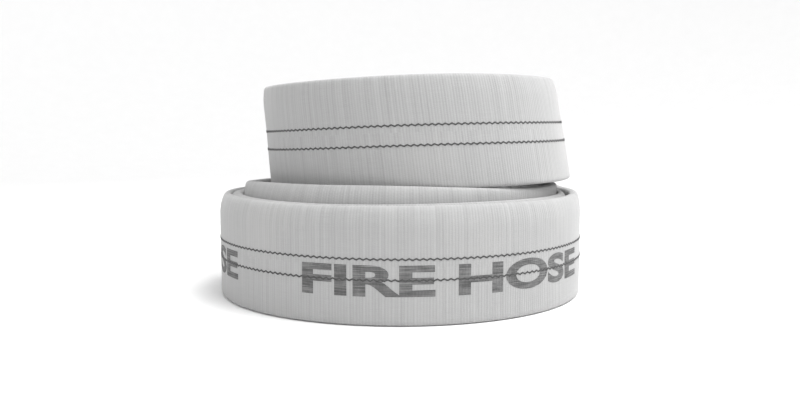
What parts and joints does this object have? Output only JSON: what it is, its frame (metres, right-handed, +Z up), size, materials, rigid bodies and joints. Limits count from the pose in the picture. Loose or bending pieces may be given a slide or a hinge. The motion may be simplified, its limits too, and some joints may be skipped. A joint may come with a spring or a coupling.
{
  "type": "rolled fire hose",
  "caption": "Double-jacket lay-flat fire hose rolled on edge in two stacked coils, with a threaded male coupling and a swivelling female coupling held in the open core.",
  "frame": {"origin": "on the floor under the middle of the whole roll", "axes": "+Z up; the outermost lower turn runs level round the front, which faces -Y, and both couplings lie along Y"},
  "size_m": [0.296, 0.302, 0.1773],
  "materials": {
    "woven_jacket": "white woven polyester with two dark tracer yarns",
    "inner_weave": "undyed woven polyester",
    "liner_rubber": "smooth black rubber",
    "coupling_aluminium": "satin anodised",
    "wire_steel": "drawn wire",
    "gasket_rubber": "matt moulded rubber",
    "ring_brass": "drawn brass tube"
  },
  "bodies": {
    "hose": {"outer_jacket_male_tail": "woven_jacket", "outer_jacket_lower_coil": "woven_jacket", "outer_jacket_riser": "woven_jacket", "outer_jacket_upper_coil": "woven_jacket", "outer_jacket_female_tail": "woven_jacket", "inner_jacket": "inner_weave", "rubber_liner": "liner_rubber", "female_tailpiece": "coupling_aluminium", "female_tail_gasket": "gasket_rubber", "female_expansion_ring": "ring_brass", "male_body": "coupling_aluminium", "male_tail_gasket": "gasket_rubber", "male_expansion_ring": "ring_brass", "swivel_lock_wire": "wire_steel"},
    "swivel": {"female_swivel": "coupling_aluminium", "swivel_gasket": "gasket_rubber"}
  },
  "joints": [
    {"name": "swivel_turn", "type": "hinge", "parent": "hose", "child": "swivel", "pos_m": [0.02581, 0.03087, 0.12551], "axis": [0, 1, 0], "continuous": true}
  ]
}
